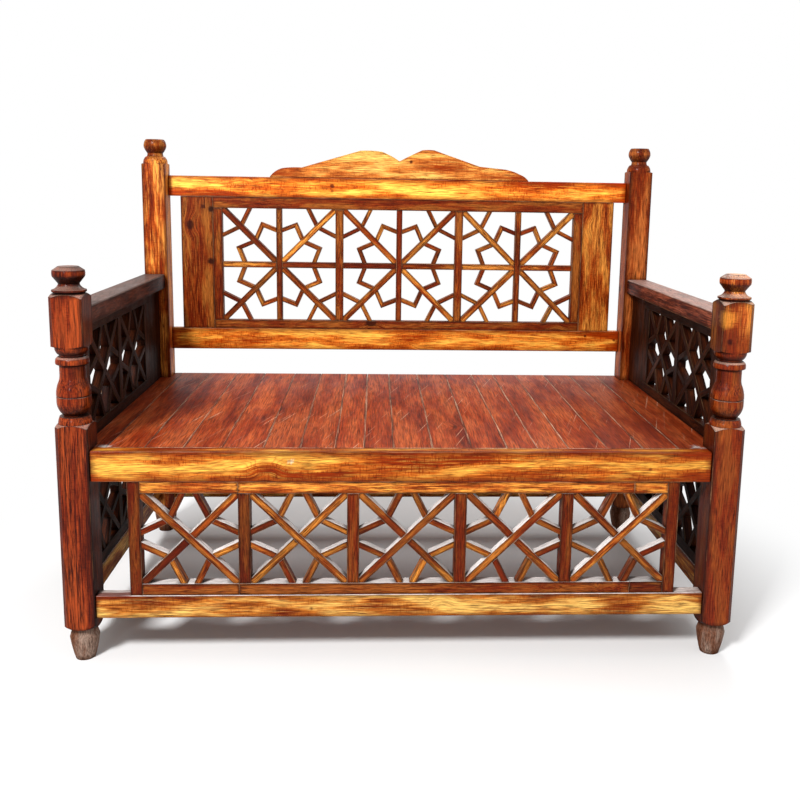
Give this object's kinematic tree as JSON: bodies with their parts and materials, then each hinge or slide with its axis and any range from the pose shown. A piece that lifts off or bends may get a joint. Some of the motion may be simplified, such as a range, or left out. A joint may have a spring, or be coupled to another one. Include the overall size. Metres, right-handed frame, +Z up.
{
  "type": "bench",
  "caption": "Wide wooden bench with turned posts, boarded seat, low arms and back, and joined star lattice panels, for sitting or lounging on.",
  "frame": {"origin": "on the floor under the middle of the bench", "axes": "+X along the seat, to the right seen from the front; +Y from the front to the back; +Z up"},
  "size_m": [1.4068, 0.7964, 1.1035],
  "materials": {
    "front_post_wood": "stained, gloss varnish",
    "rear_post_wood": "stained, gloss varnish",
    "foot_wood": "bare, worn",
    "rail_wood": "stained, gloss varnish",
    "board_wood": "stained, gloss varnish",
    "hidden_wood": "bare, worn",
    "arm_wood": "stained, gloss varnish",
    "lattice_wood": "stained, gloss varnish"
  },
  "bodies": {
    "root": {"arm_panel_left": "lattice_wood", "arm_panel_right": "lattice_wood", "arm_rail_left": "arm_wood", "arm_rail_right": "arm_wood", "back_crest": "rail_wood", "back_panel": "lattice_wood", "back_rail_low": "rail_wood", "back_rail_top": "rail_wood", "finial_front_left": "front_post_wood", "finial_front_right": "front_post_wood", "finial_rear_left": "rear_post_wood", "finial_rear_right": "rear_post_wood", "foot_front_left": "foot_wood", "foot_front_right": "foot_wood", "foot_rear_left": "foot_wood", "foot_rear_right": "foot_wood", "front_panel": "lattice_wood", "post_front_left": "front_post_wood", "post_front_right": "front_post_wood", "post_rear_left": "rear_post_wood", "post_rear_right": "rear_post_wood", "seat_bearer_front": "hidden_wood", "seat_bearer_rear": "hidden_wood", "seat_board_01": "board_wood", "seat_board_02": "board_wood", "seat_board_03": "board_wood", "seat_board_04": "board_wood", "seat_board_05": "board_wood", "seat_board_06": "board_wood", "seat_board_07": "board_wood", "seat_board_08": "board_wood", "seat_board_09": "board_wood", "seat_board_10": "board_wood", "seat_board_11": "board_wood", "seat_board_12": "board_wood", "seat_board_13": "board_wood", "seat_board_14": "board_wood", "seat_board_15": "board_wood", "seat_board_16": "board_wood", "seat_board_17": "board_wood", "seat_board_18": "board_wood", "seat_ledger_front": "hidden_wood", "seat_rail_front": "rail_wood", "seat_rail_left": "rail_wood", "seat_rail_rear": "rail_wood", "seat_rail_right": "rail_wood", "side_panel_left": "lattice_wood", "side_panel_right": "lattice_wood", "stretcher_front": "rail_wood", "stretcher_left": "rail_wood", "stretcher_rear": "rail_wood", "stretcher_right": "rail_wood"}
  },
  "joints": []
}
